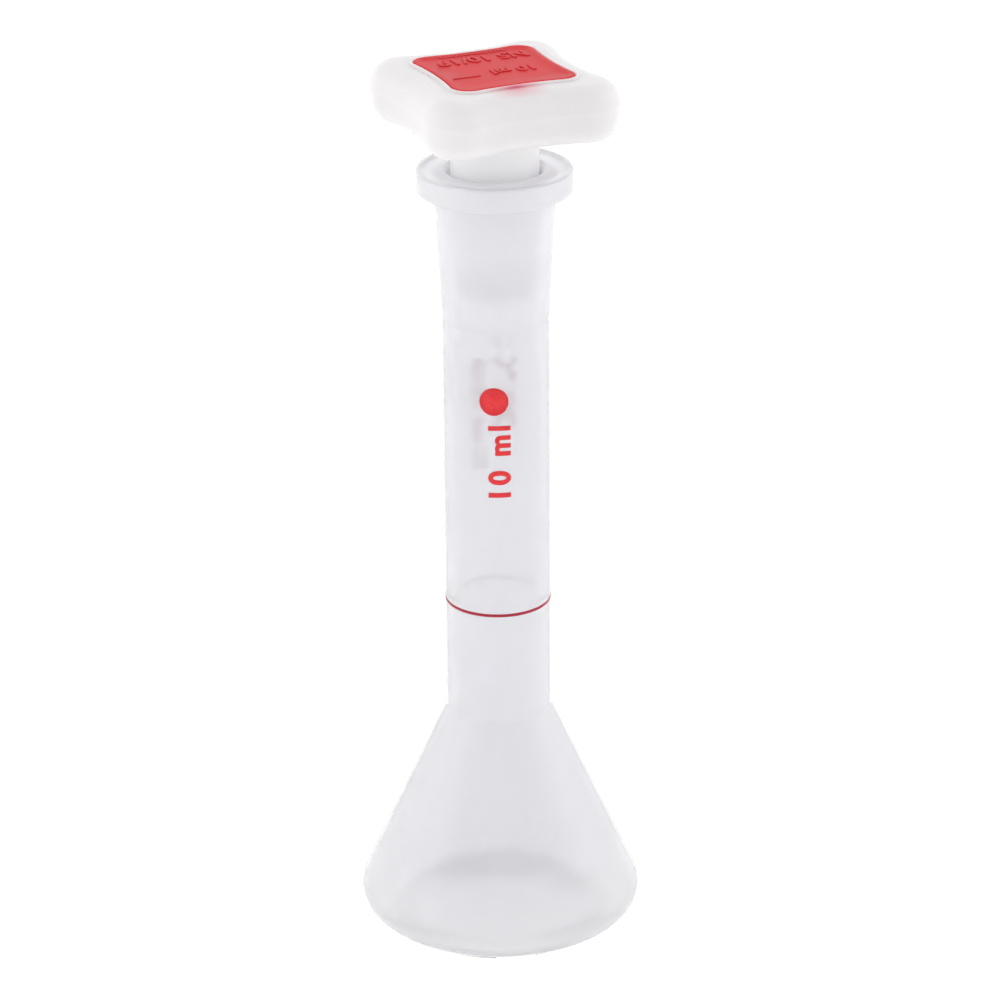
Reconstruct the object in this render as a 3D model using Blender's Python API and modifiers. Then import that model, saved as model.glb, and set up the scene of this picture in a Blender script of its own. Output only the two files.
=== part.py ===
"""A 10 ml conical plastic volumetric flask with a tapered socket and a four-lobed stopper.

+Z is up, the flask's axis is the Z axis, and z = 0 is the plane that the foot ring stands on.
Sizes are given in millimetres and turned into metres by MM where a mesh is made.
"""

from math import atan, atan2, cos, hypot, pi, radians, sin, sqrt, tan

import bmesh
import bpy
from mathutils import Matrix, Vector

MM = 0.001

# Flask body
FLASK_HEIGHT = 90.0  # foot to collar top
NECK_WALL = 1.25
BODY_WALL = 0.85  # cone and base, thin enough for 10 ml up to the ring mark
BASE_HEIGHT = 1.4  # underside of the base above the foot plane
CORNER_RADIUS = 2.63  # rounding between the base and the cone
CONE_SLOPE = 0.452  # fall in radius for each mm of height
SHOULDER_HEIGHT = 26.86  # where the cone would meet the neck
SHOULDER_BLEND = 1.5  # radius that softens the shoulder
NECK_RADIUS = 5.845
FLARE_FOOT = 74.2  # where the neck starts to widen round the socket
FLARE_SLOPE = 0.053

# Socket: nominally 10 mm across the mouth, 19 mm long, taper 1 in 10 on the diameter
SOCKET_RADIUS = 5.0
SOCKET_LENGTH = 19.0
SOCKET_SLOPE = 0.05  # fall in radius for each mm of depth
MOUTH_CHAMFER = 0.35

# Collar round the mouth
COLLAR_RADIUS = 8.42
COLLAR_THICKNESS = 2.5
COLLAR_EDGE = 0.25

# Foot ring under the base, cut by slots that let water drain away
FOOT_RADIUS = 11.5
FOOT_WIDTH = 1.0
FOOT_EDGE = 0.2
FOOT_SLOTS = 3
SLOT_WIDTH = 3.8
SLOT_TURN = radians(-81.2)  # the first slot's direction about +Z, from +X
SLOT_ROOF = 0.1  # how far the slots stay below the base

# Stopper plug and shaft
PLUG_CLEARANCE = 0.1  # between the plug and the socket
PLUG_END = 76.0
PLUG_END_ROUND = 1.4
PLUG_WALL = 1.1
SHAFT_RADIUS = 4.75

# Stopper knob
STOPPER_TURN = radians(-21.2)  # direction of the first lobe about +Z, from +X
KNOB_BOTTOM = 94.35
KNOB_PARTING = 97.95
KNOB_TOP = 100.75
KNOB_BOTTOM_ROUND = 1.5
KNOB_TOP_ROUND = 2.0
KNOB_LOBE = dict(distance=10.12, radius=3.81, side=10.0)
DRAFT_BELOW = 0.16  # how far the sides lean in for each mm below the parting line
DRAFT_ABOVE = 0.125

# Coloured insert that closes the knob
INSERT_TOP = 101.0
INSERT_THICKNESS = 1.0
INSERT_EDGE = 0.2
INSERT_LOBE = dict(distance=7.2, radius=1.85, side=6.6)
INSERT_GAP = 0.15
LEDGE_GAP = 0.1
LEDGE_WIDTH = 0.5  # what the insert rests on
CAVITY_FLOOR = 96.2
TAB_WIDTH, TAB_THICKNESS, TAB_DEPTH = 4.0, 0.8, 1.8  # snap tabs under the insert's sides
TAB_GAP = 0.15

# Print: thin films a little clear of the neck
PRINT_GAP = 0.03
PRINT_THICKNESS = 0.08
RING_MARK_HEIGHT = 40.1
RING_MARK_WIDTH = 0.4
FRONT_PRINT = dict(low=53.2, high=67.6, width=2.4, middle=radians(-86.0))
BACK_PRINT = dict(low=52.4, high=67.6, width=6.6, middle=radians(90.0))

ROUND_STEPS = 48  # facets round a turned piece, a multiple of four
ARC_STEPS = 5
LOBE_STEPS = 8
SIDE_STEPS = 5
PRINT_STEPS = 8
SHARP = radians(35)


def material(name, colour, roughness, alpha=1.0):
    """A Principled material."""
    made = bpy.data.materials.new(name)
    made.use_nodes = True
    shader = made.node_tree.nodes["Principled BSDF"]
    shader.inputs["Base Color"].default_value = (*colour, 1.0)
    shader.inputs["Roughness"].default_value = roughness
    shader.inputs["Metallic"].default_value = 0.0
    shader.inputs["Alpha"].default_value = alpha
    return made


def collection(name):
    made = bpy.data.collections.new(name)
    bpy.context.scene.collection.children.link(made)
    return made


def mesh_object(name, shape, group, look=None):
    """A new object that holds the bmesh; its faces are shaded smooth."""
    mesh = bpy.data.meshes.new(name)
    shape.to_mesh(mesh)
    shape.free()
    mesh.shade_smooth()
    if mesh.polygons:
        mesh.set_sharp_from_angle(angle=SHARP)
    if look:
        mesh.materials.append(look)
    made = bpy.data.objects.new(name, mesh)
    group.objects.link(made)
    return made


def as_cutter(piece):
    piece.hide_render = True
    piece.display_type = "WIRE"
    return piece


def combine(piece, operation, other):
    """A Boolean modifier that cuts other from the piece, or joins other to it."""
    modifier = piece.modifiers.new(other.name, "BOOLEAN")
    modifier.operation = operation
    modifier.solver = "EXACT"
    modifier.object = other


def arc(centre, radius, start, end, steps=ARC_STEPS):
    """Points on an arc, from start to end in radians."""
    angles = [start + (end - start) * i / steps for i in range(steps + 1)]
    return [(centre[0] + radius * cos(a), centre[1] + radius * sin(a)) for a in angles]


def turned(name, profile, group, look=None):
    """A solid of revolution from (radius, height) points in mm, outer side from top to bottom."""
    shape = bmesh.new()
    row = [shape.verts.new((r * MM, 0.0, z * MM)) for r, z in profile]
    for a, b in zip(row, row[1:]):
        shape.edges.new((a, b))
    if profile[0][0] > 0:
        shape.edges.new((row[-1], row[0]))
    made = mesh_object(name, shape, group, look)
    screw = made.modifiers.new("turn", "SCREW")
    screw.axis, screw.angle = "Z", 2 * pi
    screw.steps = screw.render_steps = ROUND_STEPS
    screw.use_merge_vertices = True
    screw.merge_threshold = 0.00001
    return made


def lobed_outline(distance, radius, side, inset=0.0):
    """A square with round corners and hollow sides, as (x, y) points anticlockwise.

    distance is from the axis to a corner's centre, radius is the corner's, and side is from the axis to
    the middle of a side. Each side is an arc about a point outside, tangent to its two corners.
    """
    radius, side = radius - inset, side - inset
    half = distance / sqrt(2)
    reach = radius - side
    outside = (distance**2 - reach**2) / (2 * (half + reach))
    ox = oy = outside / sqrt(2)
    lean = atan2(oy, ox - distance)
    first = atan2(-oy, distance - ox) % (2 * pi)
    last = atan2(distance - oy, -ox) % (2 * pi)
    quarter = arc((distance, 0.0), radius, -lean, lean, LOBE_STEPS)
    quarter += arc((ox, oy), outside - side, first, last, SIDE_STEPS)[1:-1]
    points = []
    for turn in (STOPPER_TURN + n * pi / 2 for n in range(4)):
        points += [(x * cos(turn) - y * sin(turn), x * sin(turn) + y * cos(turn)) for x, y in quarter]
    return points


def lofted(name, sections, group, look=None):
    """A closed solid through outlines of equal length: sections are (points, height), bottom first."""
    shape = bmesh.new()
    rings = [[shape.verts.new((x * MM, y * MM, z * MM)) for x, y in points] for points, z in sections]
    for low, high in zip(rings, rings[1:]):
        for i, corner in enumerate(low):
            j = (i + 1) % len(low)
            shape.faces.new((corner, low[j], high[j], high[i]))
    shape.faces.new(reversed(rings[0]))
    shape.faces.new(rings[-1])
    return mesh_object(name, shape, group, look)


def box(name, size, place, turn, group):
    """A box of size mm, centred on place in mm and turned about the Z axis."""
    shape = bmesh.new()
    bmesh.ops.create_cube(shape, size=1.0)
    bmesh.ops.scale(shape, vec=Vector(size) * MM, verts=shape.verts)
    bmesh.ops.translate(shape, vec=Vector(place) * MM, verts=shape.verts)
    bmesh.ops.rotate(shape, cent=(0, 0, 0), matrix=Matrix.Rotation(turn, 3, "Z"), verts=shape.verts)
    return mesh_object(name, shape, group)


def corner_arc(radius):
    """The rounding between cone and base, from the cone down; inner and outer ones share a centre."""
    height = BASE_HEIGHT + CORNER_RADIUS
    cone = NECK_RADIUS + CONE_SLOPE * (SHOULDER_HEIGHT - height)
    centre = (cone - CORNER_RADIUS * hypot(1, CONE_SLOPE), height)
    return arc(centre, radius, atan(CONE_SLOPE), -pi / 2, 2 * ARC_STEPS)


def shoulder_arc(neck_wall, body_wall, blend):
    """The rounding where the surfaces that far inside the neck and the cone meet, from the neck down."""
    tilt = atan(CONE_SLOPE)
    meet = SHOULDER_HEIGHT + (neck_wall - body_wall * hypot(1, CONE_SLOPE)) / CONE_SLOPE
    centre = (NECK_RADIUS - neck_wall + blend, meet + blend * tan(tilt / 2))
    return arc(centre, blend, pi, pi + tilt)


def flask_profile():
    """The flask's section: from the middle of its floor up the inside, over the mouth, down the outside."""
    socket_foot = FLASK_HEIGHT - SOCKET_LENGTH
    bore = NECK_RADIUS - NECK_WALL
    inside = [(0.0, BASE_HEIGHT + BODY_WALL)]
    inside += corner_arc(CORNER_RADIUS - BODY_WALL)[::-1]
    inside += shoulder_arc(NECK_WALL, BODY_WALL, SHOULDER_BLEND + NECK_WALL)[::-1]
    inside += [
        (bore, socket_foot),
        (SOCKET_RADIUS - SOCKET_SLOPE * SOCKET_LENGTH, socket_foot),
        (SOCKET_RADIUS - SOCKET_SLOPE * MOUTH_CHAMFER, FLASK_HEIGHT - MOUTH_CHAMFER),
        (SOCKET_RADIUS + MOUTH_CHAMFER, FLASK_HEIGHT),
    ]
    collar_foot = FLASK_HEIGHT - COLLAR_THICKNESS
    outside = [
        (COLLAR_RADIUS - COLLAR_EDGE, FLASK_HEIGHT),
        (COLLAR_RADIUS, FLASK_HEIGHT - COLLAR_EDGE),
        (COLLAR_RADIUS, collar_foot + COLLAR_EDGE),
        (COLLAR_RADIUS - COLLAR_EDGE, collar_foot),
        (NECK_RADIUS + FLARE_SLOPE * (collar_foot - FLARE_FOOT), collar_foot),
        (NECK_RADIUS, FLARE_FOOT),
    ]
    outside += shoulder_arc(0.0, 0.0, SHOULDER_BLEND)
    outside += corner_arc(CORNER_RADIUS)
    inner_foot = FOOT_RADIUS - FOOT_WIDTH
    foot = [
        (FOOT_RADIUS, BASE_HEIGHT),
        (FOOT_RADIUS, FOOT_EDGE),
        (FOOT_RADIUS - FOOT_EDGE, 0.0),
        (inner_foot + FOOT_EDGE, 0.0),
        (inner_foot, FOOT_EDGE),
        (inner_foot, BASE_HEIGHT),
        (0.0, BASE_HEIGHT),
    ]
    return inside + outside + foot


def make_flask_body(parts, cutters):
    look = material("flask_plastic", (0.86, 0.87, 0.90), 0.22, 0.45)
    body = turned("flask_body", flask_profile(), parts, look)
    slot_height = 2 * (BASE_HEIGHT - SLOT_ROOF)
    for n in range(FOOT_SLOTS):
        turn = SLOT_TURN + n * 2 * pi / FOOT_SLOTS
        size = (4 * FOOT_WIDTH, SLOT_WIDTH, slot_height)
        slot = box(f"foot_slot_{n + 1}", size, (FOOT_RADIUS - FOOT_WIDTH / 2, 0, 0), turn, cutters)
        combine(body, "DIFFERENCE", as_cutter(slot))
    return body


def knob_sections():
    """Outlines of the knob: round at the bottom, leaning in from the parting line, rounder at the top."""
    sections = []
    for x, z in arc((0, KNOB_BOTTOM + KNOB_BOTTOM_ROUND), KNOB_BOTTOM_ROUND, -pi / 2, 0, ARC_STEPS - 2):
        sections.append((KNOB_BOTTOM_ROUND - x + DRAFT_BELOW * (KNOB_PARTING - z), z))
    sections.append((0.0, KNOB_PARTING))
    for x, z in arc((0, KNOB_TOP - KNOB_TOP_ROUND), KNOB_TOP_ROUND, 0, pi / 2):
        sections.append((KNOB_TOP_ROUND - x + DRAFT_ABOVE * (z - KNOB_PARTING), z))
    return [(lobed_outline(**KNOB_LOBE, inset=inset), z) for inset, z in sections]


def plug_radius(z):
    """The plug's outside: a clearance in from the socket's taper, up to the straight shaft."""
    return min(SOCKET_RADIUS - SOCKET_SLOPE * (FLASK_HEIGHT - z) - PLUG_CLEARANCE, SHAFT_RADIUS)


def plug_profile(inset, top):
    """The plug's outside, or its bore when inset by the wall, from the axis at the top to its closed end."""
    low = PLUG_END + inset
    round_end = PLUG_END_ROUND - inset / 2
    straight = FLASK_HEIGHT - (SOCKET_RADIUS - PLUG_CLEARANCE - SHAFT_RADIUS) / SOCKET_SLOPE
    end_radius = plug_radius(low + round_end) - inset
    profile = [(0.0, top), (SHAFT_RADIUS - inset, top), (SHAFT_RADIUS - inset, straight)]
    profile += arc((end_radius - round_end, low + round_end), round_end, 0, -pi / 2)
    return profile + [(0.0, low)]


def make_stopper_body(parts, cutters):
    look = material("stopper_plastic", (0.88, 0.87, 0.88), 0.45, 0.8)
    body = lofted("stopper_body", knob_sections(), parts, look)
    plug = turned("plug", plug_profile(0.0, KNOB_PARTING), cutters)
    combine(body, "UNION", as_cutter(plug))
    ledge = INSERT_TOP - INSERT_THICKNESS - LEDGE_GAP
    pocket_outline = lobed_outline(**INSERT_LOBE, inset=-INSERT_GAP)
    pocket = lofted("insert_pocket", [(pocket_outline, ledge), (pocket_outline, KNOB_TOP + 1)], cutters)
    cavity_outline = lobed_outline(**INSERT_LOBE, inset=LEDGE_WIDTH)
    cavity = lofted("knob_cavity", [(cavity_outline, CAVITY_FLOOR), (cavity_outline, ledge + 0.5)], cutters)
    bore = turned("plug_bore", plug_profile(PLUG_WALL, CAVITY_FLOOR + 1), cutters)
    for hollow in (pocket, cavity, bore):
        combine(body, "DIFFERENCE", as_cutter(hollow))
    return body


def make_stopper_insert(parts, cutters):
    """The coloured plate, with a snap tab under the middle of each side."""
    low = INSERT_TOP - INSERT_THICKNESS
    sections = [
        (lobed_outline(**INSERT_LOBE), low),
        (lobed_outline(**INSERT_LOBE), INSERT_TOP - INSERT_EDGE),
        (lobed_outline(**INSERT_LOBE, inset=INSERT_EDGE), INSERT_TOP),
    ]
    insert = lofted("stopper_insert", sections, parts, material("insert_plastic", (0.70, 0.06, 0.07), 0.4))
    reach = INSERT_LOBE["side"] - LEDGE_WIDTH - TAB_GAP - TAB_THICKNESS / 2
    middle = low + INSERT_THICKNESS / 2 - TAB_DEPTH
    for n in range(4):
        turn = STOPPER_TURN + pi / 4 + n * pi / 2
        size = (TAB_THICKNESS, TAB_WIDTH, 2 * TAB_DEPTH)
        tab = box(f"snap_tab_{n + 1}", size, (reach, 0, middle), turn, cutters)
        combine(insert, "UNION", as_cutter(tab))
    return insert


def make_ring_mark(parts):
    """The volume line round the neck."""
    inner = NECK_RADIUS + PRINT_GAP
    outer = inner + PRINT_THICKNESS
    high = RING_MARK_HEIGHT + RING_MARK_WIDTH / 2
    low = RING_MARK_HEIGHT - RING_MARK_WIDTH / 2
    profile = [(outer, high), (outer, low), (inner, low), (inner, high)]
    return turned("ring_mark", profile, parts, material("ring_ink", (0.45, 0.0, 0.03), 0.35))


def make_print(name, parts, look, low, high, width, middle):
    """A printed patch: a strip wrapped round the neck and thickened outwards."""
    inner = NECK_RADIUS + PRINT_GAP
    shape = bmesh.new()
    bmesh.ops.create_grid(shape, x_segments=PRINT_STEPS, y_segments=1, size=0.5)
    for v in shape.verts:
        turn = middle + v.co.x * width / inner
        height = low + (v.co.y + 0.5) * (high - low)
        v.co = Vector((inner * cos(turn), inner * sin(turn), height)) * MM
    patch = mesh_object(name, shape, parts, look)
    thicken = patch.modifiers.new("film", "SOLIDIFY")
    thicken.thickness = PRINT_THICKNESS * MM
    thicken.offset = 1.0
    thicken.use_even_offset = True
    return patch


def main():
    for old in list(bpy.data.objects):
        bpy.data.objects.remove(old, do_unlink=True)
    parts, cutters = collection("volumetric_flask"), collection("cutters")
    make_flask_body(parts, cutters)
    make_ring_mark(parts)
    ink = material("print_ink", (0.75, 0.02, 0.03), 0.4)
    make_print("front_print", parts, ink, **FRONT_PRINT)
    make_print("back_print", parts, ink, **BACK_PRINT)
    axis = bpy.data.objects.new("stopper_axis", None)
    parts.objects.link(axis)
    for piece in (make_stopper_body(parts, cutters), make_stopper_insert(parts, cutters)):
        piece.parent = axis


main()
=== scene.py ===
"""Looks of a small conical plastic volumetric flask: translucent moulded body, print, frosted stopper.

Lengths are in millimetres in the profiles and become metres in skin(). The heights of the pieces' ends are
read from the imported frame. The base is a little higher above the foot than in the CAD, so that the slots in
the foot ring can be seen.
"""

from math import atan, atan2, cos, hypot, pi, radians, sin, sqrt, tan

import bmesh
import bpy
import numpy as np
from mathutils import Matrix, Vector, noise


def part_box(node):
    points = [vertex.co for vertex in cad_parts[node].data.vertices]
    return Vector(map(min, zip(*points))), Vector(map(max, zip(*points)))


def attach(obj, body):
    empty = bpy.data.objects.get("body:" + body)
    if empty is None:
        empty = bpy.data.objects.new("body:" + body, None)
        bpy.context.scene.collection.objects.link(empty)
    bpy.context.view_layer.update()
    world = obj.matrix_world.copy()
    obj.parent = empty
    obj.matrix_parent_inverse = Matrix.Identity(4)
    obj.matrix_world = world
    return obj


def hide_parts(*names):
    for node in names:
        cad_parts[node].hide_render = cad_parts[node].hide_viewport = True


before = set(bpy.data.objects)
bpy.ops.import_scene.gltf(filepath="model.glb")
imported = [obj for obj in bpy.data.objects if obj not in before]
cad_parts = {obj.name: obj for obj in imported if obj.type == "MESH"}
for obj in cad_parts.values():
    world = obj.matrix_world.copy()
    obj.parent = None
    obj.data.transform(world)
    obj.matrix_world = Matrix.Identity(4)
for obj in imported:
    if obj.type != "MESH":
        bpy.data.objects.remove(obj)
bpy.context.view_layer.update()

MM = 0.001


def height_span(node):
    """Lowest and highest z of a CAD node, in mm."""
    low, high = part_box(node)
    return low.z / MM, high.z / MM


# Flask, outside
FLASK_TOP = height_span("flask_body")[1]
NECK_RADIUS = 5.845
NECK_WALL = 1.25
BODY_WALL = 0.85
BASE_HEIGHT = 1.8  # underside of the base
CORNER_RADIUS = 2.4  # rounding between the base and the cone
INNER_CORNER_RADIUS = 0.7
CONE_SLOPE = 0.452
SHOULDER_HEIGHT = 26.86
SHOULDER_BLEND = 1.5
FLARE_FOOT = 74.2
FLARE_SLOPE = 0.053
WITNESS_HEIGHT = 73.1  # where the two halves of the mould's neck meet
WITNESS_DEPTH = 0.03
WITNESS_HALF, WITNESS_FADE = 0.1, 0.4  # half the line's width, and up to where its sides slope out

# Socket and collar
SOCKET_RADIUS = 5.0
SOCKET_LENGTH = 19.0
SOCKET_SLOPE = 0.05
SOCKET_STEP = 1.1  # height over which the neck's bore closes in to the socket's foot
COLLAR_RADIUS = 8.42
COLLAR_THICKNESS = 2.5
COLLAR_FOOT = FLASK_TOP - COLLAR_THICKNESS
COLLAR_ROUND = 0.28
COLLAR_DISH = 0.12  # the collar's top sinks a little between its edge and the mouth
COLLAR_FILLET = 0.3  # between its underside and the neck
MOUTH_LEAD = 0.6  # width of the lead-in round the mouth

# Foot ring
FOOT_RADIUS = 11.5
FOOT_WIDTH = 1.0
FOOT_ROUND = 0.3
FOOT_FILLET = 0.15
FOOT_SLOTS = 3
SLOT_WIDTH = 3.8
SLOT_RAMP = 0.45  # the slots' ends slope over this length
SLOT_TURN = radians(-81.2)
SLOT_ROOF = 0.05  # how far the slots stay below the base
GATE_RADIUS = 2.1  # of the recess round the gate mark, in the middle of the underside

# Stopper
PLUG_END, KNOB_TOP = height_span("stopper_body")
PLUG_CLEARANCE = 0.1
PLUG_END_ROUND = 1.4
PLUG_WALL = 1.1
SHAFT_RADIUS = 4.75
SHAFT_FILLET = 0.5
STOPPER_TURN = radians(-21.2)
KNOB_BOTTOM = 94.35
KNOB_PARTING = 97.95
KNOB_BOTTOM_ROUND = 1.5
KNOB_TOP_ROUND = 2.0
PARTING_HALF = 0.18  # half the height of the ridge at the parting line
KNOB_LOBE = (10.12, 3.81, 10.0)  # to a lobe's centre, its radius, to the middle of a side
DRAFT_BELOW, DRAFT_ABOVE = 0.16, 0.125
CAVITY_FLOOR = 96.2
LEDGE_WIDTH = 0.5
LIP_WIDTH, LIP_HEIGHT = 0.3, 0.24  # raised edge round the insert's pocket

# Insert
INSERT_LOBE = (7.2, 1.85, 6.6)
INSERT_TOP = height_span("stopper_insert")[1]
INSERT_THICKNESS = 1.0
INSERT_BOTTOM = INSERT_TOP - INSERT_THICKNESS
INSERT_GAP = 0.08
INSERT_ROUND = 0.16
INSERT_BORDER = 0.75  # width of the raised border
FIELD_DEPTH = 0.1  # how far the field inside the border is sunk
LETTER_RISE = 0.12  # thickness of the lettering
LETTER_LIFT = 0.03  # height of its middle above the field
TAB_GAP = 0.15  # between a tab and the pocket's wall
# A snap tab's width, thickness, low and high end from the insert's underside, and shift outwards
TAB = (4.0, 0.8, -2.1, 0.2, 0.0)
TAB_BARB = (3.4, 0.5, -1.9, -1.2, 0.12)
TAB_ROUND = 0.12

# Print
INK_FILM = 0.03
INK_LIFT = 0.008  # of the prints' underside off the neck
RING_LIFT = 0.005
FRONT_SIDE, BACK_SIDE = radians(-86.0), radians(90.0)  # directions of the prints about +Z, from +X
BEND_STEP = 0.2  # a print is cut at this step so that it bends round the neck
BEND_REACH = 4.0

# Looks
CLEAR_TO, MILKY_FROM = 73.0, 82.0  # the wall turns milky between these heights, round the socket
# painted light: the base's colour is painted paler, to make up for the shade under and at the bottom of the
# flask
PALE_TO, WALL_FROM = 4.0, 12.0  # the base is paler than the wall; the tint changes between these heights
PLASTIC_IOR = 1.49

SPOKES = 288
KNOB_SPOKES = 320
ARC_STEPS = 12
LOBE_STEPS = 40


# ---------------------------------------------------------------- shapes


def arc(centre, radius, start, end, steps=ARC_STEPS):
    """Points on an arc, from start to end in radians."""
    angles = [start + (end - start) * i / steps for i in range(steps + 1)]
    return [(centre[0] + radius * cos(a), centre[1] + radius * sin(a)) for a in angles]


def between(a, b, step):
    """Points from a to b, a left out, no further apart than step."""
    count = max(1, int(hypot(b[0] - a[0], b[1] - a[1]) / step + 0.5))
    return [(a[0] + (b[0] - a[0]) * i / count, a[1] + (b[1] - a[1]) * i / count) for i in range(1, count + 1)]


def finished(name, mesh, sharp=40):
    """An object for the mesh, shaded smooth, with its normals pointing out."""
    shape = bmesh.new()
    shape.from_mesh(mesh)
    bmesh.ops.recalc_face_normals(shape, faces=shape.faces)
    shape.to_mesh(mesh)
    shape.free()
    mesh.shade_smooth()
    mesh.set_sharp_from_angle(angle=radians(sharp))
    made = bpy.data.objects.new(name, mesh)
    bpy.context.collection.objects.link(made)
    return made


def skin(name, rings, loop=False):
    """A mesh through rings of (x, y, z) points in mm. A ring of one point is a pole."""
    starts = np.cumsum([0] + [len(r) for r in rings])
    faces = []
    pairs = [(i, i + 1) for i in range(len(rings) - 1)] + ([(len(rings) - 1, 0)] if loop else [])
    for i, j in pairs:
        a, b, n = starts[i], starts[j], max(len(rings[i]), len(rings[j]))
        for k in range(n):
            m = (k + 1) % n
            if len(rings[i]) == 1:
                faces.append((a, b + k, b + m))
            elif len(rings[j]) == 1:
                faces.append((a + k, b, a + m))
            else:
                faces.append((a + k, b + k, b + m, a + m))
    mesh = bpy.data.meshes.new(name)
    mesh.from_pydata((np.concatenate(rings) * MM).tolist(), [], faces)
    return finished(name, mesh)


def turned_rings(profile, spokes, change=None):
    """Rings for a turned piece. change(r, z, angle) may move a point; r = 0 makes a pole."""
    rings = []
    for r, z in profile:
        if r == 0:
            rings.append(np.array([[0.0, 0.0, z]]))
            continue
        places = [change(r, z, a) if change else (r, z) for a in spokes]
        rings.append(np.array([(p * cos(a), p * sin(a), q) for (p, q), a in zip(places, spokes)]))
    return rings


def even_spokes(count=SPOKES):
    return [2 * pi * i / count for i in range(count)]


def lobed_radius(lobe, inset, angles):
    """How far the outline of a square with round corners and hollow sides is from the axis, by angle."""
    distance, radius, side = lobe[0], lobe[1] - inset, lobe[2] - inset
    half, reach = distance / sqrt(2), radius - side
    outside = (distance**2 - reach**2) / (2 * (half + reach))
    o = outside / sqrt(2)
    lean = atan2(o, o - distance)
    first, last = atan2(-o, distance - o) % (2 * pi), atan2(distance - o, -o) % (2 * pi)
    lobe_half = arc((distance, 0.0), radius, 0, lean, LOBE_STEPS)
    quarter = lobe_half + arc((o, o), outside - side, first, last, LOBE_STEPS)[1:-1]
    quarter += [(y, x) for x, y in lobe_half[::-1]]
    turns = np.array([atan2(y, x) for x, y in quarter])
    reaches = np.array([hypot(x, y) for x, y in quarter])
    local = np.mod(np.asarray(angles) - STOPPER_TURN, pi / 2)
    return np.interp(local, turns, reaches)


def polar_ring(reaches, z, spokes):
    """A ring from a distance for each spoke, or one for all, at height z."""
    reaches = np.broadcast_to(reaches, len(spokes))
    return np.column_stack([reaches * np.cos(spokes), reaches * np.sin(spokes), np.full(len(spokes), z)])


# ---------------------------------------------------------------- flask


def corner_arc(radius, wall):
    """From the cone round to the base, on the outside or a wall's thickness inside it."""
    height = BASE_HEIGHT + wall + radius
    cone = NECK_RADIUS + CONE_SLOPE * (SHOULDER_HEIGHT - height)
    centre = (cone - (wall + radius) * hypot(1, CONE_SLOPE), height)
    return arc(centre, radius, atan(CONE_SLOPE), -pi / 2, 2 * ARC_STEPS)


def shoulder_arc(neck_wall, body_wall, blend):
    """Where the surfaces that far inside the neck and the cone meet, from the neck down."""
    tilt = atan(CONE_SLOPE)
    meet = SHOULDER_HEIGHT + (neck_wall - body_wall * hypot(1, CONE_SLOPE)) / CONE_SLOPE
    centre = (NECK_RADIUS - neck_wall + blend, meet + blend * tan(tilt / 2))
    return arc(centre, blend, pi, pi + tilt)


def run(points, step=1.2):
    """The points with others between them, so that no two are further apart than step."""
    made = [points[0]]
    for p in points[1:]:
        made += between(made[-1], p, step)
    return made


def inside_profile():
    """From the middle of the floor up the inside to the mouth."""
    bore = NECK_RADIUS - NECK_WALL
    socket_foot = FLASK_TOP - SOCKET_LENGTH
    step = SOCKET_RADIUS - SOCKET_SLOPE * SOCKET_LENGTH
    points = [(0.0, BASE_HEIGHT + BODY_WALL), (0.6, BASE_HEIGHT + BODY_WALL)]
    points += corner_arc(INNER_CORNER_RADIUS, BODY_WALL)[::-1]
    points += shoulder_arc(NECK_WALL, BODY_WALL, SHOULDER_BLEND + NECK_WALL)[::-1]
    points += [(bore, socket_foot - SOCKET_STEP), (bore - 0.04, socket_foot - 0.8)]
    points += [(step + 0.05, socket_foot - 0.05), (step, socket_foot + 0.25)]
    points += [(SOCKET_RADIUS - SOCKET_SLOPE * MOUTH_LEAD, FLASK_TOP - MOUTH_LEAD)]
    return points


def collar_profile():
    """Over the mouth and collar, down to the underside of the collar."""
    foot = COLLAR_FOOT
    edge, sunk = COLLAR_RADIUS - COLLAR_ROUND, FLASK_TOP - COLLAR_DISH
    rim = SOCKET_RADIUS + MOUTH_LEAD
    points = [(rim - 0.12, FLASK_TOP - 0.04), (rim, FLASK_TOP), (rim + 0.2, FLASK_TOP)]
    points += [(rim + 0.45, sunk), (edge - 0.55, sunk), (edge - 0.3, FLASK_TOP)]
    points += arc((edge, FLASK_TOP - COLLAR_ROUND), COLLAR_ROUND, pi / 2, 0, 6)
    points += arc((edge, foot + COLLAR_ROUND), COLLAR_ROUND, 0, -pi / 2, 6)
    neck = NECK_RADIUS + FLARE_SLOPE * (foot - FLARE_FOOT)
    return points + arc((neck + COLLAR_FILLET, foot - COLLAR_FILLET), COLLAR_FILLET, pi / 2, pi, 5)


def foot_profile():
    """Across the underside, over the foot ring, to the gate mark in the middle."""
    inner = FOOT_RADIUS - FOOT_WIDTH
    points = [(FOOT_RADIUS + FOOT_FILLET, BASE_HEIGHT), (FOOT_RADIUS, BASE_HEIGHT - 0.1)]
    points += arc((FOOT_RADIUS - FOOT_ROUND, FOOT_ROUND), FOOT_ROUND, 0, -pi / 2, 5)
    points += arc((inner + FOOT_ROUND, FOOT_ROUND), FOOT_ROUND, -pi / 2, -pi, 5)
    points += [(inner, BASE_HEIGHT - 0.1), (inner - FOOT_FILLET, BASE_HEIGHT)]
    gate = [(GATE_RADIUS, BASE_HEIGHT), (GATE_RADIUS - 0.2, BASE_HEIGHT + 0.2), (0.75, BASE_HEIGHT + 0.25)]
    return points + gate + [(0.6, BASE_HEIGHT - 0.05), (0.0, BASE_HEIGHT - 0.1)]


def witness_profile():
    """The shallow line round the neck where the mould parts, from above to below."""
    z, r, sunk = WITNESS_HEIGHT, NECK_RADIUS, NECK_RADIUS - WITNESS_DEPTH
    return [(r, z + WITNESS_FADE), (sunk, z + WITNESS_HALF), (sunk, z - WITNESS_HALF), (r, z - WITNESS_FADE)]


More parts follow.
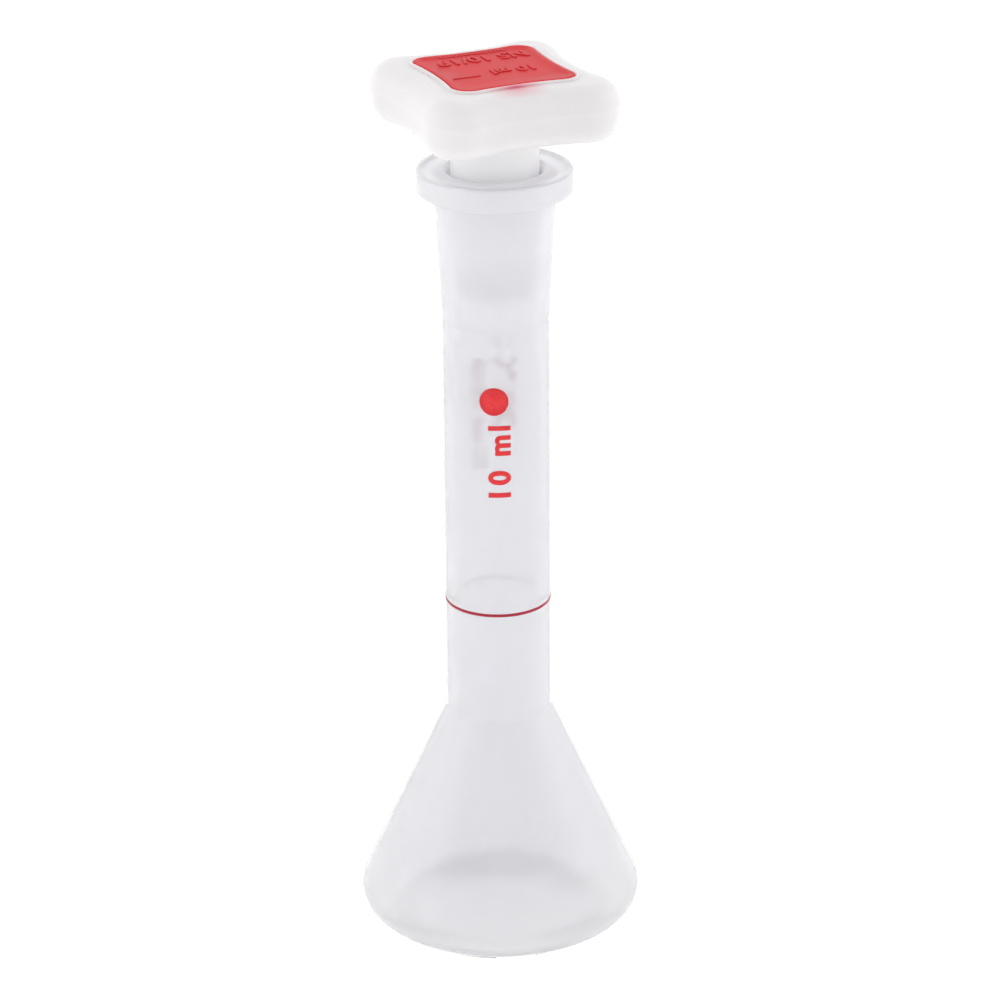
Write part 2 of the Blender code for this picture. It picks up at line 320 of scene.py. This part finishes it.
def slot_share(angle):
    """1 inside a slot of the foot ring, 0 outside, with a ramp at each end."""
    pitch = 2 * pi / FOOT_SLOTS
    off = abs((angle - SLOT_TURN + pitch / 2) % pitch - pitch / 2) * FOOT_RADIUS
    t = min(max((SLOT_WIDTH / 2 + SLOT_RAMP - off) / SLOT_RAMP, 0.0), 1.0)
    return t * t * (3 - 2 * t)


def flask_spokes():
    """Even spokes, with more of them on the ramps at the ends of the slots."""
    spokes = set(even_spokes())
    for slot in range(FOOT_SLOTS):
        middle = SLOT_TURN + slot * 2 * pi / FOOT_SLOTS
        for side in (-1, 1):
            for i in range(7):
                off = SLOT_WIDTH / 2 + SLOT_RAMP * i / 6
                spokes.add((middle + side * off / FOOT_RADIUS) % (2 * pi))
    return sorted(spokes)


def waver(r, z, angle, size, amount):
    """A smooth unevenness of the wall, in mm."""
    place = Vector((r * cos(angle), r * sin(angle), z)) / size
    return noise.noise(place) * amount


def flask_point(r, z, angle):
    """Cuts the slots in the foot ring, by lifting the ring's points to the slots' roof."""
    if z < BASE_HEIGHT - 0.06 and FOOT_RADIUS - FOOT_WIDTH - 0.01 < r < FOOT_RADIUS + 0.01:
        return r, z + (BASE_HEIGHT - SLOT_ROOF - z) * slot_share(angle)
    return r, z


def make_flask():
    inside = run(inside_profile())
    outside = run(collar_profile() + witness_profile() + shoulder_arc(0.0, 0.0, SHOULDER_BLEND))
    outside += run(corner_arc(CORNER_RADIUS, 0.0))
    spokes = flask_spokes()
    inner_rings = turned_rings(inside, spokes, lambda r, z, a: (r + inner_waver(r, z, a), z))
    outer_rings = turned_rings(outside + foot_profile(), spokes, flask_point)
    return skin("flask", inner_rings + outer_rings)


def inner_waver(r, z, angle):
    """How the inner wall wanders: not at all on the floor and in the socket, most on the cone."""
    cone = min(max((SHOULDER_HEIGHT + 2 - z) / 4, 0.0), 1.0)
    bore = min(max((FLASK_TOP - SOCKET_LENGTH - 1 - z) / 3, 0.0), 1.0)
    floor = min(max((z - 5) / 3, 0.0), 1.0)
    broad, narrow = waver(r, z, angle, 7.0, 0.01 + 0.03 * cone), waver(r, z, angle, 2.5, 0.004)
    return floor * bore * (broad + narrow)


# ---------------------------------------------------------------- stopper


def plug_radius(z):
    """The plug's taper follows the socket's, and ends where it meets the shaft."""
    taper = SOCKET_RADIUS - SOCKET_SLOPE * (FLASK_TOP - z) - PLUG_CLEARANCE
    return min(taper, SHAFT_RADIUS)


def plug_side(inset):
    """The plug's side, or its bore's, from the closed end's pole up to where the shaft is straight."""
    low, end_round = PLUG_END + inset, PLUG_END_ROUND - inset / 2
    straight = FLASK_TOP - (SOCKET_RADIUS - PLUG_CLEARANCE - SHAFT_RADIUS) / SOCKET_SLOPE
    radius = plug_radius(low + end_round) - inset
    points = [(0.0, low), (0.5, low)]
    points += arc((radius - end_round, low + end_round), end_round, -pi / 2, 0, 8)
    return run(points + [(SHAFT_RADIUS - inset, straight)], 1.0)


def knob_insets():
    """(inset, height) of the knob's outline up its side, with a fine ridge at the parting line."""
    points = []
    for x, z in arc((0, KNOB_BOTTOM + KNOB_BOTTOM_ROUND), KNOB_BOTTOM_ROUND, -pi / 2, 0, 10):
        points.append((KNOB_BOTTOM_ROUND - x + DRAFT_BELOW * (KNOB_PARTING - z), z))
    points += [(DRAFT_BELOW, KNOB_PARTING - 1.0), (0.03, KNOB_PARTING - PARTING_HALF)]
    points += [(0.0, KNOB_PARTING), (0.024, KNOB_PARTING + PARTING_HALF)]
    for x, z in arc((0, KNOB_TOP - KNOB_TOP_ROUND), KNOB_TOP_ROUND, 0, pi / 2, 14):
        points.append((KNOB_TOP_ROUND - x + DRAFT_ABOVE * (z - KNOB_PARTING), z))
    return points


def make_stopper():
    """Up the outside from the plug's end, over the knob, and down through its hollow into the plug."""
    spokes = np.array(even_spokes(KNOB_SPOKES))
    insets = knob_insets()
    rings = turned_rings(plug_side(0.0), spokes)
    inner = SHAFT_RADIUS + SHAFT_FILLET
    rings += turned_rings(arc((inner, KNOB_BOTTOM - SHAFT_FILLET), SHAFT_FILLET, pi, pi / 2, 5), spokes)
    under = lobed_radius(KNOB_LOBE, insets[0][0], spokes)
    rings += [polar_ring(inner + (under - inner) * t, KNOB_BOTTOM, spokes) for t in (0.25, 0.5, 0.75)]
    rings += [polar_ring(lobed_radius(KNOB_LOBE, inset, spokes), z, spokes) for inset, z in insets]
    edge = lobed_radius(KNOB_LOBE, insets[-1][0], spokes)
    lip = lobed_radius(INSERT_LOBE, -INSERT_GAP - LIP_WIDTH - 0.1, spokes)
    rings += [polar_ring(edge + (lip - edge) * t, KNOB_TOP, spokes) for t in (0.3, 0.6, 1.0)]
    ledge = INSERT_BOTTOM - 0.05
    pocket = [(-LIP_WIDTH, KNOB_TOP + 0.7 * LIP_HEIGHT), (-LIP_WIDTH + 0.08, KNOB_TOP + LIP_HEIGHT)]
    pocket += [(-0.08, KNOB_TOP + LIP_HEIGHT), (0.0, KNOB_TOP + 0.6 * LIP_HEIGHT), (0.0, ledge)]
    pocket += [(LEDGE_WIDTH, ledge), (LEDGE_WIDTH, CAVITY_FLOOR + 0.4)]
    pocket += [(LEDGE_WIDTH + 0.4, CAVITY_FLOOR)]
    for inset, z in pocket:
        rings.append(polar_ring(lobed_radius(INSERT_LOBE, inset - INSERT_GAP, spokes), z, spokes))
    bore = SHAFT_RADIUS - PLUG_WALL
    rings += turned_rings([(bore + 0.3, CAVITY_FLOOR), (bore, CAVITY_FLOOR - 0.3)], spokes)
    rings += turned_rings(plug_side(PLUG_WALL)[::-1], spokes)
    return skin("stopper", rings)


def make_insert():
    """The coloured plate: raised border round a sunk field, rounded top edge."""
    spokes = np.array(even_spokes(KNOB_SPOKES))
    field = INSERT_TOP - FIELD_DEPTH
    steps = [(0.3, INSERT_BOTTOM), (0.0, INSERT_BOTTOM + 0.2)]
    edge = arc((0, INSERT_TOP - INSERT_ROUND), INSERT_ROUND, 0, pi / 2, 5)
    steps += [(INSERT_ROUND - x, z) for x, z in edge]
    steps += [(INSERT_BORDER - 0.1, INSERT_TOP), (INSERT_BORDER + 0.1, field)]
    pole = [np.array([[0.0, 0.0, INSERT_BOTTOM]])]
    rings = [polar_ring(lobed_radius(INSERT_LOBE, inset, spokes), z, spokes) for inset, z in steps]
    inner = lobed_radius(INSERT_LOBE, INSERT_BORDER + 0.1, spokes)
    rings += [polar_ring(inner * t, field, spokes) for t in (0.75, 0.5, 0.25)]
    return skin("size_insert", pole + rings + [np.array([[0.0, 0.0, field]])])


def make_tabs():
    """Snap tabs under the insert, each with a barb."""
    shape = bmesh.new()
    reach = INSERT_LOBE[2] - LEDGE_WIDTH - TAB_GAP
    for n in range(4):
        turn = Matrix.Rotation(STOPPER_TURN + pi / 4 + n * pi / 2, 4, "Z")
        for width, thick, low, high, out in (TAB, TAB_BARB):
            size = Matrix.Diagonal((thick, width, high - low, 1.0))
            place = Matrix.Translation((reach - thick / 2 + out, 0, INSERT_BOTTOM + (low + high) / 2))
            bmesh.ops.create_cube(shape, size=1.0, matrix=turn @ place @ size)
    bmesh.ops.bevel(shape, geom=shape.edges[:], offset=TAB_ROUND, segments=2, affect="EDGES")
    bmesh.ops.scale(shape, vec=(MM, MM, MM), verts=shape.verts)
    mesh = bpy.data.meshes.new("insert_tabs")
    shape.to_mesh(mesh)
    shape.free()
    return finished("insert_tabs", mesh)


# ---------------------------------------------------------------- lettering and print


def flat_text(words, size, weight=0.0, thickness=0.0, bevel=0.0, spacing=1.0):
    """A mesh of the words in mm, centred, read along +X."""
    curve = bpy.data.curves.new("words", "FONT")
    curve.body, curve.size, curve.offset, curve.space_character = words, size, weight, spacing
    curve.align_x, curve.align_y = "CENTER", "CENTER"
    curve.resolution_u = 6
    curve.extrude, curve.bevel_depth, curve.bevel_resolution = thickness / 2, bevel, 1
    holder = bpy.data.objects.new("words", curve)
    bpy.context.collection.objects.link(holder)
    evaluated = holder.evaluated_get(bpy.context.evaluated_depsgraph_get())
    mesh = bpy.data.meshes.new_from_object(evaluated)
    bpy.data.objects.remove(holder)
    bpy.data.curves.remove(curve)
    return mesh


def disc(radius, steps=48):
    """A flat round mark in mm."""
    shape = bmesh.new()
    bmesh.ops.create_circle(shape, cap_ends=True, radius=radius, segments=steps)
    mesh = bpy.data.meshes.new("disc")
    shape.to_mesh(mesh)
    shape.free()
    return mesh


def printed(name, marks, middle):
    """Ink on the neck. marks are (mesh, height, offset): a flat mesh, where its middle lies up the neck,
    and how far it is to the left of the line at angle middle. It reads upwards."""
    upward = Matrix.Rotation(pi / 2, 3, "Z")
    shape = bmesh.new()
    for mesh, height, left in marks:
        piece = bmesh.new()
        piece.from_mesh(mesh)
        bmesh.ops.remove_doubles(piece, verts=piece.verts, dist=0.0005)
        bmesh.ops.rotate(piece, cent=(0, 0, 0), matrix=upward, verts=piece.verts)
        bmesh.ops.translate(piece, vec=(-left, height, 0), verts=piece.verts)
        for cut in np.arange(-BEND_REACH, BEND_REACH + 0.01, BEND_STEP):
            parts = piece.verts[:] + piece.edges[:] + piece.faces[:]
            plane = dict(plane_co=(cut, 0, 0), plane_no=(1, 0, 0))
            bmesh.ops.bisect_plane(piece, geom=parts, dist=1e-5, **plane)
        whole = bpy.data.meshes.new("mark")
        piece.to_mesh(whole)
        piece.free()
        shape.from_mesh(whole)
    r = NECK_RADIUS + INK_LIFT
    for v in shape.verts:
        turn = middle + v.co.x / r
        v.co = Vector((r * cos(turn), r * sin(turn), v.co.y)) * MM
    mesh = bpy.data.meshes.new(name)
    shape.to_mesh(mesh)
    shape.free()
    ink = finished(name, mesh)
    solid = ink.modifiers.new("film", "SOLIDIFY")
    solid.thickness, solid.offset = INK_FILM * MM, 1.0
    return ink


def make_ring_mark():
    """The volume line: a band of ink with a rounded section."""
    low, high = height_span("ring_mark")
    middle, half, r = (low + high) / 2, (high - low) / 2 * 0.9, NECK_RADIUS + RING_LIFT
    section = [(r, middle + half), (r + 0.025, middle + half * 0.8), (r + 0.035, middle)]
    section += [(r + 0.025, middle - half * 0.8), (r, middle - half)]
    return skin("ring_line", turned_rings(section, even_spokes()), loop=True)


def make_front_print():
    """The volume, with a round mark above it."""
    low, high = height_span("front_print")
    volume = flat_text("10 ml", 3.25, 0.12, spacing=1.25)
    return printed("front_marking", [(disc(1.6), high - 2.2, 0.7), (volume, low + 5.0, 0.0)], FRONT_SIDE)


def make_back_print():
    """The volume with its tolerance, and the temperature that it holds at."""
    low, high = height_span("back_print")
    middle = (low + high) / 2
    marks = [
        (flat_text("10 ml \u00b10.08", 2.9, 0.13), middle, -2.6),
        (flat_text("20 \u00b0C", 4.1, 0.2), middle + 3.3, 1.0),
    ]
    return printed("back_marking", marks, BACK_SIDE)


def make_letters():
    """Raised size marking on the insert, read from behind: two rows, a bar and a row of ticks."""
    shape = bmesh.new()
    rows = (("10 ml", 2.3, -1.7, 1.35), ("NS 10/19", 2.75, -0.3, -3.8))  # words, size, middle across and up
    for words, size, across, up in rows:
        mesh = flat_text(words, size, 0.02, LETTER_RISE, 0.05)
        mesh.transform(Matrix.Translation((across, up, 0)))
        shape.from_mesh(mesh)
    bar = (3.9, 1.9, 3.0, 0.35)  # middle across and up, width, height
    ticks = [(-3.6 + i * 0.48, -6.0, 0.24, 0.9) for i in range(16)]
    for x, y, width, height in [bar] + ticks:
        size = Matrix.Diagonal((width, height, LETTER_RISE, 1.0))
        bmesh.ops.create_cube(shape, size=1.0, matrix=Matrix.Translation((x, y, 0)) @ size)
    turn = Matrix.Rotation(STOPPER_TURN + 1.25 * pi, 3, "Z")
    bmesh.ops.rotate(shape, cent=(0, 0, 0), matrix=turn, verts=shape.verts)
    bmesh.ops.translate(shape, vec=(0, 0, INSERT_TOP - FIELD_DEPTH + LETTER_LIFT), verts=shape.verts)
    bmesh.ops.scale(shape, vec=(MM, MM, MM), verts=shape.verts)
    mesh = bpy.data.meshes.new("insert_letters")
    shape.to_mesh(mesh)
    shape.free()
    return finished("insert_letters", mesh)


# ---------------------------------------------------------------- materials


def new_node(tree, kind, inputs=None, **settings):
    """A shader node. Each input is given a value, or another node's output to read."""
    made = tree.nodes.new("ShaderNode" + kind)
    for key, value in settings.items():
        setattr(made, key, value)
    for key, value in (inputs or {}).items():
        if isinstance(value, bpy.types.NodeSocket):
            tree.links.new(value, made.inputs[key])
        else:
            made.inputs[key].default_value = value
    return made


def new_material(name):
    material = bpy.data.materials.new(name)
    material.use_nodes = True
    return material, material.node_tree, material.node_tree.nodes["Principled BSDF"]


def object_place(tree):
    return new_node(tree, "TexCoord").outputs["Object"]


def separated(tree, vector):
    """The X, Y and Z of a vector."""
    return new_node(tree, "SeparateXYZ", {"Vector": vector}).outputs


def noise_of(tree, scale, detail=2.0, rough=0.5):
    """A noise over the object's own coordinates; scale is in features for each metre."""
    inputs = {"Vector": object_place(tree), "Scale": scale, "Detail": detail, "Roughness": rough}
    return new_node(tree, "TexNoise", inputs).outputs["Fac"]


def ranged(tree, value, low, high, start=0.3, end=0.7):
    """Maps value from start..end to low..high."""
    inputs = {"Value": value, "From Min": start, "From Max": end, "To Min": low, "To Max": high}
    return new_node(tree, "MapRange", inputs).outputs["Result"]


def blended(tree, share, first, second):
    """The first colour, and the second where share is 1. second is a plain colour."""
    return new_node(tree, "Mix", {0: share, 6: first, 7: (*second, 1.0)}, data_type="RGBA").outputs[2]


def tinted(tree, value, colours):
    """A colour ramp between the colours, by value."""
    ramp = new_node(tree, "ValToRGB", {"Fac": value})
    for element, colour, place in zip(ramp.color_ramp.elements, colours, (0.3, 0.7)):
        element.color, element.position = (*colour, 1.0), place
    return ramp.outputs["Color"]


def bumped(tree, layers):
    """Bumps on top of each other: layers are (height, strength, distance in mm)."""
    normal = None
    for height, strength, distance in layers:
        inputs = {"Height": height, "Strength": strength, "Distance": distance * MM}
        if normal:
            inputs["Normal"] = normal
        normal = new_node(tree, "Bump", inputs).outputs["Normal"]
    return normal


def flask_plastic():
    """Natural moulded plastic: see-through in the cone and neck, milky round the socket and in the collar,
    and painted paler at the base, painted light against the shade at the bottom of the flask.
    """
    material, tree, shader = new_material("flask_plastic")
    flow = noise_of(tree, 90.0, 3.0)
    fine = noise_of(tree, 2500.0, 2.0)
    height = separated(tree, object_place(tree))["Z"]
    wall = tinted(tree, flow, ((0.958, 0.955, 0.986), (0.972, 0.968, 0.992)))
    # painted light: paler colour towards the base, in place of light for the shaded bottom
    base = ranged(tree, height, 1.0, 0.0, PALE_TO * MM, WALL_FROM * MM)
    colour = blended(tree, base, wall, (0.985, 0.982, 0.998))
    tree.links.new(colour, shader.inputs["Base Color"])
    tree.links.new(ranged(tree, flow, 0.15, 0.2), shader.inputs["Roughness"])
    clear = ranged(tree, height, 0.66, 0.42, CLEAR_TO * MM, MILKY_FROM * MM)
    tree.links.new(clear, shader.inputs["Transmission Weight"])
    shader.inputs["IOR"].default_value = PLASTIC_IOR
    shader.inputs["Sheen Weight"].default_value = 0.15
    shader.inputs["Sheen Roughness"].default_value = 0.3
    tree.links.new(bumped(tree, [(flow, 0.25, 0.3), (fine, 0.08, 0.02)]), shader.inputs["Normal"])
    return material


def painted_insert_glow(tree):
    """Mask of a painted red glow on the knob, painted light standing in for the insert's front tab showing
    through the wall: 1 beside it at the top, 0 elsewhere.
    """
    # The knob's sides are turned to face along X and Y, the front one along -Y
    facing = {"Vector": object_place(tree), "Angle": -STOPPER_TURN - pi / 4}
    turn = new_node(tree, "VectorRotate", facing, rotation_type="Z_AXIS")
    parts = separated(tree, turn.outputs["Vector"])
    aside = new_node(tree, "Math", {0: parts["X"], 1: 0.7 * MM}, operation="ADD").outputs["Value"]
    along = new_node(tree, "Math", {0: aside}, operation="ABSOLUTE").outputs["Value"]
    edge = -INSERT_LOBE[2]
    share = ranged(tree, parts["Y"], 1.0, 0.0, (edge - 0.5) * MM, (edge - 2.6) * MM)
    inside = ranged(tree, parts["Y"], 1.0, 0.0, (edge - 0.4) * MM, edge * MM)
    sideways = ranged(tree, along, 1.0, 0.0, 0.3 * MM, 3.6 * MM)
    down = ranged(tree, parts["Z"], 1.0, 0.0, (KNOB_TOP - 0.3) * MM, (KNOB_TOP - 2.2) * MM)
    for fade in (inside, sideways, down):
        share = new_node(tree, "Math", {0: share, 1: fade}, operation="MULTIPLY").outputs["Value"]
    return share


def stopper_plastic():
    """The same plastic, thicker and frosted. The shaft and plug are painted paler than the knob, painted
    light for the shade under the knob and in the neck, and the knob has a painted red glow by the insert's
    front tab.
    """
    material, tree, shader = new_material("stopper_plastic")
    cloud = noise_of(tree, 160.0, 3.0)
    grain = noise_of(tree, 7000.0, 3.0, 0.6)
    white = tinted(tree, cloud, ((0.765, 0.745, 0.752), (0.785, 0.768, 0.773)))
    # painted glow: the knob's colour is blended to red beside the insert's front tab, in place of light
    # through the wall
    knob = blended(tree, painted_insert_glow(tree), white, (0.68, 0.17, 0.23))
    height = separated(tree, object_place(tree))["Z"]
    # painted light: below the knob the shaft and plug get a paler colour, making up for the shade under the
    # knob and inside the neck
    plug = ranged(tree, height, 1.0, 0.0, (KNOB_BOTTOM - 0.4) * MM, (KNOB_BOTTOM - 0.1) * MM)
    colour = blended(tree, plug, knob, (0.925, 0.912, 0.92))
    tree.links.new(colour, shader.inputs["Base Color"])
    tree.links.new(ranged(tree, cloud, 0.34, 0.42), shader.inputs["Roughness"])
    shader.inputs["IOR"].default_value = PLASTIC_IOR
    shader.inputs["Subsurface Weight"].default_value = 1.0
    shader.inputs["Subsurface Radius"].default_value = (1.0, 1.0, 1.0)
    shader.inputs["Subsurface Scale"].default_value = 1.3 * MM
    tree.links.new(bumped(tree, [(cloud, 0.2, 0.2), (grain, 0.25, 0.02)]), shader.inputs["Normal"])
    return material


def insert_plastic():
    """Red moulded plastic, satin, with faint flow marks."""
    material, tree, shader = new_material("insert_plastic")
    flow = noise_of(tree, 220.0, 4.0)
    grain = noise_of(tree, 6000.0, 2.0)
    colour = tinted(tree, flow, ((0.6, 0.03, 0.036), (0.69, 0.045, 0.05)))
    tree.links.new(colour, shader.inputs["Base Color"])
    tree.links.new(ranged(tree, flow, 0.34, 0.46), shader.inputs["Roughness"])
    shader.inputs["IOR"].default_value = PLASTIC_IOR
    shader.inputs["Specular IOR Level"].default_value = 0.1
    shader.inputs["Subsurface Weight"].default_value = 0.2
    shader.inputs["Subsurface Radius"].default_value = (1.0, 0.2, 0.2)
    shader.inputs["Subsurface Scale"].default_value = 0.6 * MM
    tree.links.new(bumped(tree, [(flow, 0.1, 0.1), (grain, 0.15, 0.02)]), shader.inputs["Normal"])
    return material


def ink(name, dark, light):
    """Printed ink, slightly mottled in colour and gloss."""
    material, tree, shader = new_material(name)
    mottle = noise_of(tree, 3500.0, 3.0)
    tree.links.new(tinted(tree, mottle, (dark, light)), shader.inputs["Base Color"])
    tree.links.new(ranged(tree, mottle, 0.35, 0.5), shader.inputs["Roughness"])
    shader.inputs["Transmission Weight"].default_value = 0.15
    tree.links.new(bumped(tree, [(mottle, 0.2, 0.01)]), shader.inputs["Normal"])
    return material


def floor_material():
    """Paper that glows white by itself, so that the object hardly darkens it."""
    material, tree, shader = new_material("studio_floor")
    paper = noise_of(tree, 30.0, 4.0)
    colour = tinted(tree, paper, ((0.04, 0.04, 0.04), (0.06, 0.06, 0.06)))
    tree.links.new(colour, shader.inputs["Base Color"])
    shader.inputs["Roughness"].default_value = 0.9
    shader.inputs["Specular IOR Level"].default_value = 0.2
    shader.inputs["Emission Color"].default_value = (1.0, 1.0, 1.0, 1.0)
    shader.inputs["Emission Strength"].default_value = 1.07
    return material


# ---------------------------------------------------------------- studio


CAMERA_PLACE = Vector((0.0, -384.036, 212.952)) * MM
CAMERA_AIM = Vector((0.291, 0.0, 51.506)) * MM
CAMERA_ROLL = radians(-0.45)
CAMERA_LENS = 135.68
FLOOR_DROP = 0.00002  # metres below the foot, so that the two don't share a plane
NEAR_LIGHT, FAR_LIGHT = 0.88, 1.12  # the tent's strength on the camera's side, and elsewhere
PANELS = (  # direction, cosine of the half angle, strength added to the tent's
    ((-1.0, 0.0, 0.1), 0.86, 0.4),
    ((0.95, 0.3, 0.1), 0.86, 0.5),
    ((0.0, 0.0, 1.0), 0.75, -0.2),
)


def make_camera():
    data = bpy.data.cameras.new("camera")
    data.lens, data.sensor_width = CAMERA_LENS, 36.0
    data.clip_start, data.clip_end = 0.01, 20.0
    camera = bpy.data.objects.new("camera", data)
    bpy.context.collection.objects.link(camera)
    facing = (CAMERA_AIM - CAMERA_PLACE).to_track_quat("-Z", "Y").to_matrix().to_4x4()
    roll = Matrix.Rotation(CAMERA_ROLL, 4, "Z")
    camera.matrix_world = Matrix.Translation(CAMERA_PLACE) @ facing @ roll
    bpy.context.scene.camera = camera


def make_floor():
    shape = bmesh.new()
    bmesh.ops.create_grid(shape, x_segments=8, y_segments=8, size=4.0)
    mesh = bpy.data.meshes.new("floor")
    shape.to_mesh(mesh)
    shape.free()
    floor = finished("floor", mesh)
    floor.location.z = -FLOOR_DROP
    mesh.materials.append(floor_material())


def make_light(name, place, aim, size, power):
    data = bpy.data.lights.new(name, "AREA")
    data.shape, data.size, data.energy = "DISK", size, power
    light = bpy.data.objects.new(name, data)
    bpy.context.collection.objects.link(light)
    facing = (Vector(aim) - Vector(place)).to_track_quat("-Z", "Y").to_matrix().to_4x4()
    light.matrix_world = Matrix.Translation(place) @ facing


def make_world():
    """A white tent: dimmer on the camera's side and overhead, with a soft panel at the left and the right."""
    world = bpy.data.worlds.new("tent")
    world.use_nodes = True
    tree = world.node_tree
    direction = new_node(tree, "TexCoord").outputs["Generated"]
    depth = separated(tree, direction)["Y"]
    strength = ranged(tree, depth, NEAR_LIGHT, FAR_LIGHT, -0.58, -0.48)
    for aim, edge, power in PANELS:
        toward = new_node(tree, "VectorMath", operation="DOT_PRODUCT")
        tree.links.new(direction, toward.inputs[0])
        toward.inputs[1].default_value = Vector(aim).normalized()
        panel = ranged(tree, toward.outputs["Value"], 0.0, power, edge - 0.05, edge + 0.05)
        strength = new_node(tree, "Math", {0: strength, 1: panel}, operation="ADD").outputs["Value"]
    background = tree.nodes["Background"]
    background.inputs["Color"].default_value = (1.0, 1.0, 1.0, 1.0)
    tree.links.new(strength, background.inputs["Strength"])
    bpy.context.scene.world = world


def make_studio():
    make_camera()
    make_floor()
    make_world()
    make_light("key", (-0.5, -0.35, 0.55), (0, 0, 0.05), 0.35, 0.1)
    scene = bpy.context.scene
    scene.view_settings.view_transform = "Standard"
    light_paths = scene.cycles  # light crosses and follows many walls here
    light_paths.max_bounces = light_paths.transmission_bounces = light_paths.glossy_bounces = 40
    light_paths.diffuse_bounces = 16


# ---------------------------------------------------------------- assembly


def dress(piece, body, slot, material, *nodes):
    """Puts a piece on its body in place of CAD nodes."""
    piece.data.materials.clear()
    piece.data.materials.append(material)
    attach(piece, body)
    if nodes:
        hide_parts(*nodes)


def make_pieces():
    red = ink("print_ink", (0.84, 0.012, 0.022), (0.9, 0.03, 0.035))
    crimson = ink("ring_ink", (0.38, 0.0, 0.02), (0.46, 0.005, 0.035))
    dress(make_flask(), "flask", "flask_plastic", flask_plastic(), "flask_body")
    dress(make_ring_mark(), "flask", "ring_ink", crimson, "ring_mark")
    dress(make_front_print(), "flask", "print_ink", red, "front_print")
    dress(make_back_print(), "flask", "print_ink", red, "back_print")
    insert = insert_plastic()
    dress(make_stopper(), "stopper", "stopper_plastic", stopper_plastic(), "stopper_body")
    dress(make_insert(), "stopper", "insert_plastic", insert, "stopper_insert")
    dress(make_tabs(), "stopper", "insert_plastic", insert)
    dress(make_letters(), "stopper", "insert_plastic", insert)


make_pieces()
make_studio()
